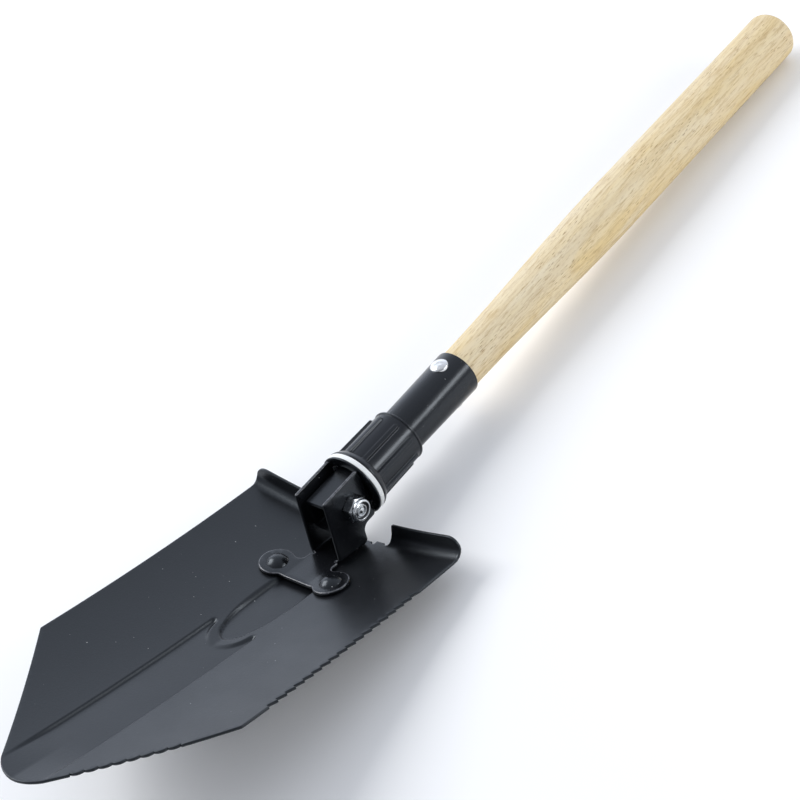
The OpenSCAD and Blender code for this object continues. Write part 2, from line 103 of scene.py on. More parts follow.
# Thrust washers, collar and the thread under it.
PLATE_Y, THRUST_T, NYLON_T, WASHER_R, SLIP_R = 12.85, 1.15, 3.1, 19.5, 14.15
COLLAR_L, COLLAR_R, COLLAR_RIBS, THREAD_R = 38.3, 15.9, 9, 14.03
SLEEVE_START, SLEEVE_END, STEP_R = 23.5, 52.3, 12.75

# Socket, handle and the rivet through both.
SOCKET_BORE_R, MOUTH_R, MOUTH_Y = 12.0, 14.1, 109.7
WOOD_START, WOOD_NECK_R, WOOD_R, WOOD_END, WOOD_ROUND = 62.0, 12.6, 16.5, 455.7, 5.0
SWELL_L = 160.0
HANDLE_RIVET_Y, HANDLE_RIVET_R = 98.8, 5.3

# A turned shape keeps a tiny hole of this radius at its axis.
CORE_R = 0.02


def smooth(t):
    """Eases from 0 to 1 as t goes from 0 to 1."""
    u = np.clip(t, 0.0, 1.0)
    return u * u * (3 - 2 * u)


# ---------------- outlines and meshes


def arc(centre, radius, start, end, steps):
    """Points from angle start to angle end, both included, in radians."""
    turns = [start + (end - start) * k / steps for k in range(steps + 1)]
    return [(centre[0] + radius * math.cos(a), centre[1] + radius * math.sin(a)) for a in turns]


def rounded(corners, steps=5, closed=True):
    """A polyline with its corners rounded. Each corner is (x, y) or (x, y, radius)."""
    points = []
    count = len(corners)
    for i, corner in enumerate(corners):
        here = Vector(corner[:2])
        radius = corner[2] if len(corner) > 2 else 0
        if not radius or (not closed and i in (0, count - 1)):
            points.append(tuple(here))
            continue
        back = (Vector(corners[i - 1][:2]) - here).normalized()
        ahead = (Vector(corners[(i + 1) % count][:2]) - here).normalized()
        half = back.angle(ahead) / 2
        centre = here + (back + ahead).normalized() * (radius / math.sin(half))
        first = here + back * (radius / math.tan(half)) - centre
        last = here + ahead * (radius / math.tan(half)) - centre
        start = math.atan2(first.y, first.x)
        sweep = math.remainder(math.atan2(last.y, last.x) - start, math.tau)
        points += arc(centre, radius, start, start + sweep, steps)
    return points


def mirrored(points):
    """The points on the other side of the middle, in the order that carries an outline on round."""
    return [(-x, y) for x, y in reversed(points)]


def both_sides(values):
    """The values with their mirror images before them, in rising order."""
    return [-v for v in reversed(values) if v] + list(values)


def divided(loop, longest):
    """The closed loop with no side longer than the given length."""
    points = []
    for i, (x, y) in enumerate(loop):
        next_x, next_y = loop[(i + 1) % len(loop)]
        parts = max(1, math.ceil(math.dist((x, y), (next_x, next_y)) / longest))
        points += [(x + (next_x - x) * k / parts, y + (next_y - y) * k / parts) for k in range(parts)]
    return points


def outward(loop):
    """Mitred directions out of the sheet at a loop's points: an anticlockwise outline or a clockwise hole."""
    p = np.array(loop)
    side = np.roll(p, -1, 0) - p
    normal = np.stack([side[:, 1], -side[:, 0]], 1) / np.linalg.norm(side, axis=1)[:, None]
    before = np.roll(normal, 1, 0)
    return (normal + before) / np.maximum(0.4, 1 + (normal * before).sum(1))[:, None]


def inside(points, loops):
    """Which points lie within the loops, by counting the sides crossed by a ray."""
    hit = np.zeros(len(points), bool)
    for loop in loops:
        a = np.array(loop)
        for (ax, ay), (bx, by) in zip(a, np.roll(a, -1, 0)):
            if ay != by:
                spans = (points[:, 1] > min(ay, by)) & (points[:, 1] <= max(ay, by))
                hit ^= spans & (points[:, 0] < ax + (points[:, 1] - ay) * (bx - ax) / (by - ay))
    return hit


def clearance(points, loops):
    """Distance from each point to the nearest side of the loops."""
    best = np.full(len(points), 1e9)
    for loop in loops:
        a = np.array(loop)
        for p, d in zip(a, np.roll(a, -1, 0) - a):
            t = np.clip(((points - p) @ d) / (d @ d), 0, 1)
            best = np.minimum(best, np.linalg.norm(points - p - t[:, None] * d, axis=1))
    return best


def normals_of(surface, points):
    """Unit normals of a surface at plan points."""
    step = 0.004
    du = surface(points + [step, 0]) - surface(points - [step, 0])
    dv = surface(points + [0, step]) - surface(points - [0, step])
    n = np.cross(du, dv)
    return n / np.linalg.norm(n, axis=1)[:, None]


def sheet(loops, fill, surface, thickness, edge, keep_off=0.45):
    """Vertices and faces of a pressed sheet with rounded edges.

    loops are an anticlockwise outline and clockwise holes, fill the points between them, and surface
    maps plan points to the sheet's upper face. Points within keep_off of a loop are left out.
    """
    turn_steps, whole_plane, tolerance = 3, 0, 1e-6
    quarter = [math.pi / 2 * k / turn_steps for k in range(turn_steps + 1)]
    section = [(edge * (1 - math.sin(a)), edge * (1 - math.cos(a))) for a in quarter]
    section += [(inset, thickness - depth) for inset, depth in reversed(section)]

    rims = [np.array(loop) - outward(loop) * edge for loop in loops]
    fill = fill[inside(fill, rims)]
    fill = fill[clearance(fill, rims) > keep_off]
    plan = np.concatenate(rims + [fill])
    sides, start = [], 0
    for rim in rims:
        sides += [(start + k, start + (k + 1) % len(rim)) for k in range(len(rim))]
        start += len(rim)
    made = delaunay_2d_cdt([Vector(p) for p in plan], sides, [], whole_plane, tolerance)
    plan = np.array([tuple(v) for v in made[0]])
    renamed = {old: new for new, olds in enumerate(made[3]) for old in olds}
    triangles = np.array([tuple(f) for f in made[2]])
    triangles = triangles[inside(plan[triangles].mean(1), rims)]

    top = surface(plan)
    down = normals_of(surface, plan)
    verts = [top, top - down * thickness]
    count = len(plan)
    faces = [tuple(t) for t in triangles] + [tuple(t[::-1] + count) for t in triangles]
    total, start = 2 * count, 0
    for loop in loops:
        n = len(loop)
        rings = [[renamed[start + k] for k in range(n)]]
        for inset, depth in section[1:-1]:
            at = np.array(loop) - outward(loop) * inset
            verts.append(surface(at) - normals_of(surface, at) * depth)
            rings.append(list(range(total, total + n)))
            total += n
        rings.append([renamed[start + k] + count for k in range(n)])
        start += n
        for upper, lower in zip(rings, rings[1:]):
            faces += [(upper[k], lower[k], lower[(k + 1) % n], upper[(k + 1) % n]) for k in range(n)]
    return np.concatenate(verts), faces


def turned(profile_at, angles, place):
    """Vertices and faces of a closed profile carried round local Z.

    profile_at(angle) lists the profile's (radius, height) points at that angle.
    """
    columns = []
    for a in angles:
        columns.append([(r * math.cos(a), r * math.sin(a), h) for r, h in profile_at(a)])
    rows, n = len(columns[0]), len(angles)
    verts = [place @ Vector(columns[k][i]) for i in range(rows) for k in range(n)]
    faces = []
    for i in range(rows):
        j = (i + 1) % rows
        for k in range(n):
            m = (k + 1) % n
            faces.append((i * n + k, i * n + m, j * n + m, j * n + k))
    return np.array([tuple(v) for v in verts]), faces


def around(count):
    """Evenly spaced angles round a circle."""
    return [math.tau * k / count for k in range(count)]


def sectors(turns, count, start=0.0):
    """Angles round a circle of equal sectors. turns are degrees from a sector's middle to its edge."""
    sector = both_sides(turns)[:-1]
    return [start + math.radians(360 / count * k + t) for k in range(count) for t in sector]


def ring(corners, place, count=96, steps=4):
    """A turned piece with one constant closed profile."""
    profile = rounded(corners, steps)
    return turned(lambda a: profile, around(count), place)


def join(*shapes):
    """Several shapes as one."""
    verts, faces, total = [], [], 0
    for v, f in shapes:
        verts.append(v)
        faces += [tuple(i + total for i in face) for face in f]
        total += len(v)
    return np.concatenate(verts), faces


def piece(name, shape, body, nodes, slot, crease=38, paint=None, rim=None):
    """Makes the mesh object of a shape given in the pivot's frame, riding on a body in place of CAD nodes.

    paint is a material other than the slot's own. rim is one for a sheet's upward cut edges, which are its
    four-sided faces: a painted highlight, lighter than the coat, that only the upward-facing edges get.
    """
    verts, faces = shape
    mesh = bpy.data.meshes.new(name)
    mesh.from_pydata([tuple(LAY @ Vector(v)) for v in verts], [], faces)
    mesh.materials.append(MATERIALS[paint or slot])
    if rim:
        # Only cut edges that face up get the rim's painted highlight.
        upward = 0.5
        mesh.materials.append(MATERIALS[rim])
        for face in mesh.polygons:
            face.material_index = int(len(face.vertices) == 4 and face.normal.z > upward)
    bm = bmesh.new()
    bm.from_mesh(mesh)
    bmesh.ops.remove_doubles(bm, verts=bm.verts, dist=MERGE)
    bmesh.ops.dissolve_degenerate(bm, edges=bm.edges, dist=SLIVER)
    bmesh.ops.recalc_face_normals(bm, faces=bm.faces)
    bm.to_mesh(mesh)
    bm.free()
    mesh.shade_smooth()
    mesh.set_sharp_from_angle(angle=math.radians(crease))
    made = bpy.data.objects.new(name, mesh)
    bpy.context.scene.collection.objects.link(made)
    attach(made, body)
    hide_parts(*nodes)
    return made


def along_handle(y):
    """Local Z runs along the handle from y, and local X stays +X."""
    return Matrix.Translation((0, y, 0)) @ Matrix.Rotation(-math.pi / 2, 4, "X")


def along_pivot(x):
    """Local Z runs along the pivot bolt from x."""
    return Matrix.Translation((x, 0, 0)) @ Matrix.Rotation(math.pi / 2, 4, "Y")


# ---------------- materials


class Paint:
    """Builds one procedural material, with places measured in the pivot's frame, in millimetres."""

    def __init__(self, name):
        self.material = bpy.data.materials.new(name)
        self.material.use_nodes = True
        self.tree = self.material.node_tree
        self.shader = self.tree.nodes["Principled BSDF"]
        where = self.node("ShaderNodeTexCoord")
        place = self.node("ShaderNodeMapping", vector_type="TEXTURE")
        place.inputs["Location"].default_value = pivot
        place.inputs["Rotation"].default_value = TURN.to_euler()
        place.inputs["Scale"].default_value = (MM, MM, MM)
        self.link(where.outputs["Object"], place.inputs["Vector"])
        self.place = place.outputs["Vector"]

    def node(self, kind, **settings):
        """A new node with its settings."""
        made = self.tree.nodes.new(kind)
        for key, value in settings.items():
            setattr(made, key, value)
        return made

    def link(self, source, target):
        self.tree.links.new(source, target)

    def set(self, **values):
        """Sets the shader's own sockets, with _ for a space in their names."""
        for key, value in values.items():
            self.shader.inputs[key.replace("_", " ")].default_value = value

    def scaled(self, scale, offset=(0, 0, 0)):
        """The place stretched by cycles per mm on each axis."""
        made = self.node("ShaderNodeMapping")
        made.inputs["Scale"].default_value = scale
        made.inputs["Location"].default_value = offset
        self.link(self.place, made.inputs["Vector"])
        return made.outputs["Vector"]

    def noise(self, scale, detail=3.0, roughness=0.5, distortion=0.0, offset=(0, 0, 0)):
        """Noise about 0.5, with its scale in cycles per mm on each axis."""
        made = self.node("ShaderNodeTexNoise")
        made.inputs["Scale"].default_value = 1.0
        made.inputs["Detail"].default_value = detail
        made.inputs["Roughness"].default_value = roughness
        made.inputs["Distortion"].default_value = distortion
        self.link(self.scaled(scale, offset), made.inputs["Vector"])
        return made.outputs["Fac"]

    def specks(self, scale, size, offset=(0, 0, 0)):
        """Spots of a given size around scattered points: 1 inside, 0 outside."""
        made = self.node("ShaderNodeTexVoronoi")
        made.inputs["Scale"].default_value = 1.0
        self.link(self.scaled(scale, offset), made.inputs["Vector"])
        return self.span(made.outputs["Distance"], size, size * 0.5, 0.0, 1.0)

    def span(self, value, low, high, to_low, to_high):
        """The value's range from low to high carried over to another range, and held beyond it."""
        made = self.node("ShaderNodeMapRange", clamp=True)
        for name, number in zip(("From Min", "From Max", "To Min", "To Max"), (low, high, to_low, to_high)):
            made.inputs[name].default_value = number
        self.link(value, made.inputs["Value"])
        return made.outputs["Result"]

    def math(self, operation, a, b):
        made = self.node("ShaderNodeMath", operation=operation)
        for socket, value in zip(made.inputs, (a, b)):
            if isinstance(value, (int, float)):
                socket.default_value = value
            else:
                self.link(value, socket)
        return made.outputs[0]

    def mix(self, amount, a, b):
        """Colour a where amount is 0 and b where it is 1."""
        made = self.node("ShaderNodeMix", data_type="RGBA")
        self.link(amount, made.inputs[0])
        for socket, value in ((made.inputs[6], a), (made.inputs[7], b)):
            if isinstance(value, tuple):
                socket.default_value = (*value, 1)
            else:
                self.link(value, socket)
        return made.outputs[2]

    def bump(self, heights):
        """Bump from (height, depth in mm) pairs, one after another."""
        last = None
        for height, depth in heights:
            made = self.node("ShaderNodeBump")
            made.inputs["Strength"].default_value = 1.0
            made.inputs["Distance"].default_value = depth * MM
            self.link(height, made.inputs["Height"])
            if last:
                self.link(last, made.inputs["Normal"])
            last = made.outputs["Normal"]
        self.link(last, self.shader.inputs["Normal"])

    def colour(self, value):
        self.link(value, self.shader.inputs["Base Color"])

    def rough(self, value):
        self.link(value, self.shader.inputs["Roughness"])


def black_coat(name, smoothest, roughest):
    """Powder coat: a fine orange peel, faint cloudiness and a few pale dust specks."""
    p = Paint(name)
    cloud = p.noise((0.02, 0.02, 0.02), 4)
    grain = p.noise((2.2, 2.2, 2.2), 2)
    dust = p.span(p.noise((0.75, 0.75, 0.75), 0), 0.885, 0.90, 0.0, 0.6)
    base = p.mix(cloud, (0.0030, 0.0033, 0.0042), (0.0055, 0.0060, 0.0075))
    base = p.mix(p.span(grain, 0.45, 0.8, 0.0, 0.6), base, (0.014, 0.015, 0.018))
    p.colour(p.mix(dust, base, (0.45, 0.46, 0.46)))
    p.rough(p.span(p.noise((0.05, 0.05, 0.05), 5, 0.6), 0.3, 0.7, smoothest, roughest))
    p.bump([(p.noise((0.8, 0.8, 0.8), 3), 0.04), (grain, 0.02)])
    p.set(Specular_Tint=(0.82, 0.91, 1.0, 1.0))
    return p.material


def edge_wear_and_painted_highlight():
    """Powder coat worn thin along a cut edge, with a painted highlight: the edge is coloured a lighter grey
    than the coat, in patches, where light caught by the rounded edge would shine.
    """
    p = Paint("edge_wear_and_painted_highlight")
    mottle = p.noise((0.5, 0.5, 0.5), 4, 0.6)
    # Painted highlight: the edge's colour is a lighter grey than the black coat, patchy with the noise.
    p.colour(p.mix(p.span(mottle, 0.38, 0.62, 0.0, 1.0), (0.035, 0.037, 0.043), (0.115, 0.12, 0.135)))
    p.rough(p.span(mottle, 0.3, 0.7, 0.24, 0.16))
    p.bump([(mottle, 0.02)])
    return p.material


def black_gloss():
    """Semi-gloss enamel over drawn tube."""
    p = Paint("black_gloss")
    cloud = p.noise((0.05, 0.02, 0.05), 4)
    dust = p.span(p.noise((0.8, 0.8, 0.8), 0, offset=(3, 1, 2)), 0.87, 0.89, 0.0, 0.5)
    base = p.mix(cloud, (0.003, 0.003, 0.004), (0.006, 0.0065, 0.008))
    p.colour(p.mix(dust, base, (0.5, 0.5, 0.5)))
    p.rough(p.span(p.noise((0.3, 0.05, 0.3), 4), 0.3, 0.7, 0.20, 0.28))
    p.bump([(p.noise((0.35, 0.25, 0.35), 2), 0.045), (p.noise((2.2, 2.2, 2.2), 2), 0.006)])
    p.set(Specular_Tint=(0.85, 0.92, 1.0, 1.0))
    return p.material


def collar_plastic():
    """Moulded black plastic with a fine texture and faint flow lines along the ribs."""
    p = Paint("collar_plastic")
    flow = p.noise((0.9, 0.03, 0.9), 4)
    p.colour(p.mix(flow, (0.003, 0.003, 0.004), (0.007, 0.007, 0.009)))
    p.rough(p.span(p.noise((0.2, 0.1, 0.2), 4), 0.3, 0.7, 0.20, 0.27))
    p.bump([(p.noise((3.0, 3.0, 3.0), 2), 0.010), (flow, 0.02)])
    p.set(Specular_Tint=(0.85, 0.92, 1.0, 1.0))
    return p.material


def white_nylon():
    """Turned nylon: faint tool rings, soft light inside."""
    p = Paint("white_nylon")
    stain = p.noise((0.12, 0.12, 0.12), 4)
    p.colour(p.mix(stain, (0.80, 0.82, 0.81), (0.92, 0.93, 0.92)))
    p.rough(p.span(stain, 0.3, 0.7, 0.42, 0.55))
    p.bump([(p.noise((0.6, 5.0, 0.6), 3), 0.012)])
    p.set(Subsurface_Weight=0.25, Subsurface_Scale=0.0012, Subsurface_Radius=(1.0, 1.0, 0.9))
    return p.material


def insert_nylon():
    """Dark nylon of the locknut's ring."""
    p = Paint("insert_nylon")
    mottle = p.noise((0.8, 0.8, 0.8), 4)
    p.colour(p.mix(mottle, (0.008, 0.009, 0.012), (0.02, 0.022, 0.028)))
    p.rough(p.span(mottle, 0.3, 0.7, 0.4, 0.6))
    p.bump([(mottle, 0.03)])
    return p.material


def zinc():
    """Bright zinc plate with fine scratches and slightly dull patches."""
    p = Paint("zinc")
    patch = p.noise((0.25, 0.25, 0.25), 5, 0.6)
    scratch = p.noise((4.0, 0.5, 1.2), 4, 0.7)
    base = p.mix(patch, (0.60, 0.63, 0.66), (0.80, 0.82, 0.83))
    p.colour(p.mix(p.span(scratch, 0.62, 0.75, 0.0, 0.5), base, (0.45, 0.47, 0.50)))
    p.rough(p.span(patch, 0.3, 0.7, 0.15, 0.30))
    p.bump([(scratch, 0.010), (p.noise((1.2, 1.2, 1.2), 3), 0.018)])
    p.set(Metallic=1.0)
    return p.material


def bright_steel():
    """Polished rivet steel with hammer marks."""
    p = Paint("bright_steel")
    patch = p.noise((0.5, 0.5, 0.5), 4)
    p.colour(p.mix(patch, (0.70, 0.71, 0.72), (0.88, 0.88, 0.88)))
    p.rough(p.span(patch, 0.3, 0.7, 0.16, 0.30))
    p.bump([(p.noise((0.8, 0.8, 0.8), 2), 0.04), (p.noise((6.0, 1.0, 3.0), 3), 0.006)])
    p.set(Metallic=1.0)
    return p.material


def wood():
    """Pale sanded hardwood: wandering growth bands, long fibres and short brown pores."""
    p = Paint("wood")
    drift = p.noise((0.05, 0.006, 0.05), 3, 0.5)
    bands = p.node("ShaderNodeTexWave", wave_type="BANDS", bands_direction="X", wave_profile="SIN")
    bands.inputs["Scale"].default_value = 1.0
    bands.inputs["Distortion"].default_value = 5.5
    bands.inputs["Detail"].default_value = 3.0
    bands.inputs["Detail Scale"].default_value = 0.8
    p.link(p.scaled((0.045, 0.0022, 0.03)), bands.inputs["Vector"])
    fibre = p.noise((0.70, 0.05, 0.70), 5, 0.72)
    fine = p.noise((1.3, 0.13, 1.3), 3, 0.65, offset=(5, 2, 7))
    blush = p.noise((0.08, 0.014, 0.08), 4, 0.6, 0.6)
    base = p.mix(p.span(blush, 0.38, 0.64, 0.0, 1.0), (0.80, 0.675, 0.45), (0.77, 0.60, 0.31))
    base = p.mix(p.span(bands.outputs["Fac"], 0.3, 0.95, 0.0, 0.30), base, (0.64, 0.48, 0.26))
    base = p.mix(p.span(drift, 0.48, 0.7, 0.0, 0.5), base, (0.83, 0.75, 0.58))
    base = p.mix(p.span(fibre, 0.48, 0.68, 0.0, 0.66), base, (0.50, 0.345, 0.165))
    base = p.mix(p.span(fine, 0.56, 0.70, 0.0, 0.62), base, (0.42, 0.27, 0.115))
    pores = p.specks((1.1, 0.12, 1.1), 0.24)
    pores = p.math("MULTIPLY", pores, p.span(p.noise((0.07, 0.016, 0.07), 3), 0.44, 0.56, 0.0, 0.9))
    p.colour(p.mix(pores, base, (0.28, 0.155, 0.06)))
    p.rough(p.span(fibre, 0.3, 0.8, 0.54, 0.68))
    p.bump([(fibre, 0.06), (fine, 0.03), (p.math("SUBTRACT", 1.0, pores), 0.06)])
    p.set(Specular_IOR_Level=0.35)
    return p.material


MATERIALS = {
    "black_coat": black_coat("black_coat", 0.30, 0.36),
    "bracket_coat": black_coat("bracket_coat", 0.19, 0.27),
    # Painted edge highlight: a lighter grey for upward-facing cut edges, partly wear and partly painted
    # light.
    "edge_wear_and_painted_highlight": edge_wear_and_painted_highlight(),
    "black_gloss": black_gloss(),
    "collar_plastic": collar_plastic(),
    "white_nylon": white_nylon(),
    "insert_nylon": insert_nylon(),
    "zinc": zinc(),
    "bright_steel": bright_steel(),
    "wood": wood(),
}

# ---------------- blade


def rise(s):
    """Height of the blade's centreline."""
    return HEEL_Z + LIFT * s + CURL * s * s


def wing(x):
    """Height of a wing over the centreline."""
    return WING_BASE + WING_SLOPE * abs(x) + WING_CURVE * x * x


def dish(x, s):
    """Height of the sheet over its centreline: the wings, with a tongue and a channel pressed flat in them.

    The tongue's wall rises from a crisp foot and is steepest at the tongue's end.
    """
    reach = np.hypot(x / TONGUE_HALF, np.maximum(0, s - TONGUE_S) / TONGUE_L)
    wall = WALL_SIDE - WALL_GAIN * smooth((s - WALL_S) / WALL_L)
    tongue = 1 - np.sin(math.pi / 2 * np.clip((reach - 1) / wall, 0, 1))
    tongue *= smooth((s - ROOT_S) / ROOT_L)
    beyond = np.hypot(x / CHANNEL_HALF, (s - RIDGE_S) / RIDGE_L)
    channel = smooth((CHANNEL_HALF + CHANNEL_WALL - abs(x)) / CHANNEL_WALL)
    channel *= smooth((beyond - 1 + RIDGE_SOFT) / RIDGE_SOFT)
    channel *= smooth((s - RIDGE_S) / ARM_FADE) * smooth((TIP_S - CHANNEL_STOP - s) / CHANNEL_FADE)
    pressed = np.maximum(tongue, channel)
    return wing(x) * (1 - pressed) - TONGUE_DROP * tongue + CHANNEL_RISE * np.maximum(0, channel - tongue)


HEEL_ANGLE = -math.atan(LIFT + 2 * CURL * BEND_S)
BEND_ARC = BEND_R * (FLANGE_LEAN - HEEL_ANGLE)


def blade_surface(plan):
    """Upper face over plan points (x, v): v is y ahead of the bend and runs on along the sheet past it."""
    x, v = plan[:, 0], plan[:, 1]
    blend_x, blend = RELIEF_X - 1, 2.5
    q = v + BEND_S
    a = HEEL_ANGLE + np.clip(q, 0, BEND_ARC) / BEND_R
    straight = np.maximum(0, q - BEND_ARC)
    up_y = -BEND_S + BEND_R * (np.sin(a) - math.sin(HEEL_ANGLE)) + straight * math.cos(FLANGE_LEAN)
    up_z = rise(BEND_S) + BEND_R * (math.cos(HEEL_ANGLE) - np.cos(a)) + straight * math.sin(FLANGE_LEAN)
    bent = np.where(q > 0, smooth((abs(x) - blend_x) / blend), 0)
    y = v + (up_y - v) * bent
    z = rise(-v) + (up_z - rise(-v)) * bent
    return np.stack([x, y, z + dish(x, -y)], 1)


def blade_outline():
    """Plan of the blade, anticlockwise from the tip: teeth and lobes on the +X side only."""
    side_corner_r, longest_side = 2.5, 2.0
    corner = Vector((BLADE_HALF, -CORNER_S))
    centre = Vector((0, TIP_R - TIP_S))
    reach = corner - centre
    swing = math.atan2(reach.y, reach.x) - math.acos(TIP_R / reach.length)
    touch = centre + TIP_R * Vector((math.cos(swing), math.sin(swing)))
    run = (touch - corner).normalized()
    out = Vector((-run.y, run.x))
    lobe_r = (LOBE_PITCH ** 2 / 4 + LOBE_DEPTH ** 2) / (2 * LOBE_DEPTH)
    half = math.asin(LOBE_PITCH / 2 / lobe_r)
    facing = math.atan2(out.y, out.x)
    lobes_end = corner + run * (LOBE_FIRST + LOBES * LOBE_PITCH)
    right = [tuple(lobes_end)]
    for i in reversed(range(LOBES)):
        middle = corner + run * (LOBE_FIRST + (i + 0.5) * LOBE_PITCH)
        right += arc(middle - out * lobe_r, lobe_r, facing - half, facing + half, 10)[(i < LOBES - 1):]
    right.append(tuple(corner + run * LOBE_FIRST))
    side_corner = rounded([touch, (*corner, side_corner_r), (BLADE_HALF, 0)], 4, closed=False)[1:-1]
    right += side_corner
    right.append((BLADE_HALF, -SAW_FIRST - SAW_TEETH * SAW_PITCH))
    for i in reversed(range(SAW_TEETH)):
        near = -SAW_FIRST - i * SAW_PITCH
        right += [(BLADE_HALF - SAW_DEPTH, near - SAW_PITCH + SAW_HOOK), (BLADE_HALF, near)]
    flange_top = BEND_ARC + FLANGE_RISE - BEND_S
    rear = rounded([
        (BLADE_HALF, -8), (BLADE_HALF, flange_top, FLANGE_CORNER), (FLANGE_INNER, flange_top, 1.0),
        (RELIEF_X + RELIEF_R, RELIEF_Y + 3, 1.5), (RELIEF_X + RELIEF_R, RELIEF_Y),
    ], 8, closed=False)[1:]
    dip = math.asin((RELIEF_Y - TAB_Y) / RELIEF_R)
    rear += arc((RELIEF_X, RELIEF_Y), RELIEF_R, 0, dip - math.pi, 10)[1:]
    rear += rounded([
        rear[-1], (NICK_OUT, TAB_Y, 0.6), (NICK_OUT, NICK_Y, NICK_R), (NICK_IN, NICK_Y, NICK_R),
        (NICK_IN, NECK_Y, NICK_R), (0, NECK_Y),
    ], 4, closed=False)[1:-1]
    tip = arc(centre, TIP_R, math.pi - swing, math.tau + swing, 30)
    return divided(tip[1:] + right + rear + mirrored(rear) + mirrored(side_corner), longest_side)


def hole_pair(x, y, radius, count=32):
    """Two clockwise round holes, at x and -x."""
    circle = [(radius * math.cos(a), radius * math.sin(a)) for a in around(count)]
    return [[(side * x + dx, y - dy) for dx, dy in circle] for side in (1, -1)]


def steps_between(*stops):
    """Coordinates through (place, spacing) stops: each spacing holds up to the next stop."""
    made = []
    for (a, spacing), (b, _) in zip(stops, stops[1:]):
        parts = max(1, round((b - a) / spacing))
        made += [a + (b - a) * k / parts for k in range(parts)]
    return made + [stops[-1][0]]


def grid(xs, ys):
    """Plan points at every crossing of the given lines."""
    return np.array([(x, y) for y in ys for x in xs])


def blade():
    """The pressed sheet, with its points close together round the tongue, the ridge and the bend."""
    xs = both_sides(steps_between((0, 1.1), (9, 0.45), (18, 0.9), (25, 3.0), (78, 3.0)))
    ys = steps_between((-232, 2.2), (-112, 0.6), (-40, 1.6), (-2, 0.7), (16.5, 1.0))
    holes = hole_pair(RIVET_X - EAR_PULL, -RIVET_S, RIVET_HOLE_R)
    shape = sheet([blade_outline()] + holes, grid(xs, ys), blade_surface, SHEET_T, EDGE_R)
    piece("blade_sheet", shape, "blade_assembly", ["blade"], "black_coat", 50)


# ---------------- hinge bracket and its rivets

BASE_PITCH = math.atan((rise(BASE_L) - rise(0)) / BASE_L)
BASE_Z = rise(0) + wing(PLATE_HALF) + BASE_GAP
FOLD_X = PLATE_HALF - PLATE_T - FOLD_R
FOLD_ARC = FOLD_R * math.pi / 2
RELIEF_V, RELIEF_SPLIT = -22.7, -26.7
EAR_V = -RIVET_S / math.cos(BASE_PITCH)


def bracket_surface(plan):
    """Inner face of the folded plate over its flat blank (u, v): v runs along the base to the handle."""
    u, v = abs(plan[:, 0]), plan[:, 1]
    a = np.clip((u - FOLD_X) / FOLD_R, 0, math.pi / 2)
    folded_x = np.minimum(u, FOLD_X) + FOLD_R * np.sin(a)
    folded_n = FOLD_R * (1 - np.cos(a)) + np.maximum(0, u - FOLD_X - FOLD_ARC)
    rolled = np.maximum(0, u - CREASE_X)
    crease_r = 0.2
    flat_x = np.minimum(u, CREASE_X) + rolled * math.cos(EAR_ROLL)
    flat_n = math.sin(EAR_ROLL) * (np.hypot(rolled, crease_r) - crease_r)
    ear = v < np.where(u < PLATE_HALF - 0.4, RELIEF_V, RELIEF_SPLIT)
    x = np.sign(plan[:, 0]) * np.where(ear, flat_x, folded_x)
    n = PLATE_T + np.where(ear, flat_n, folded_n)
    y = v * math.cos(BASE_PITCH) + n * math.sin(BASE_PITCH)
    z = BASE_Z - v * math.sin(BASE_PITCH) + n * math.cos(BASE_PITCH)
    return np.stack([x, y, z], 1)


def on_blank(y, z, radius=0.0):
    """A point of the side plate, given in the Y-Z plane, on the flat blank."""
    v = y * math.cos(BASE_PITCH) - (z - BASE_Z) * math.sin(BASE_PITCH)
    n = y * math.sin(BASE_PITCH) + (z - BASE_Z) * math.cos(BASE_PITCH)
    return (FOLD_X + FOLD_ARC + n - PLATE_T - FOLD_R, v, radius)


def bracket_outline():
    """The flat blank, anticlockwise from the middle of its front edge."""
    front_v, rear_v, neck_x = -46.4, 0.38, 10.4
    front_r, rear_r, slit_half, longest_side = 2.8, 3.4, 0.5, 2.5
    slit_x = FOLD_X + 0.4
    ear = Vector((RIVET_X, EAR_V))
    front_fillet = Vector((0, front_v - front_r))
    front_fillet.x = ear.x - math.sqrt((EAR_R + front_r) ** 2 - (front_fillet.y - ear.y) ** 2)
    rear_fillet = Vector((neck_x + rear_r, 0))
    rear_fillet.y = ear.y + math.sqrt((EAR_R + rear_r) ** 2 - (rear_fillet.x - ear.x) ** 2)
    to_front, to_rear = front_fillet - ear, rear_fillet - ear
    front_turn = math.atan2(to_front.y, to_front.x)
    rear_turn = math.atan2(to_rear.y, to_rear.x)
    right = arc(front_fillet, front_r, math.pi / 2, front_turn + math.pi, 6)
    right += arc(ear, EAR_R, front_turn, rear_turn, 40)[1:-1]
    right += arc(rear_fillet, rear_r, rear_turn - math.pi, -math.pi, 6)
    right += rounded([
        (neck_x, -26.0), (neck_x, RELIEF_V - slit_half, 0.9), (slit_x, RELIEF_V - slit_half, 0.3),
        (slit_x, RELIEF_V + slit_half, 0.3), (FOLD_X + 1.6, RELIEF_V + 0.6, 0.3),
        on_blank(CHEEK_FRONT, CHEEK_TOP, 1.2), on_blank(CHEEK_REAR, CHEEK_TOP, 2.0),
        on_blank(CHEEK_REAR, CHEEK_LOW, 2.0), on_blank(CHEEK_WAIST, CHEEK_LOW, 4.5),
        (FOLD_X + FOLD_ARC, rear_v, 3.0), (0, rear_v),
    ], 6, closed=False)[1:-1]
    return divided(right + mirrored(right), longest_side)


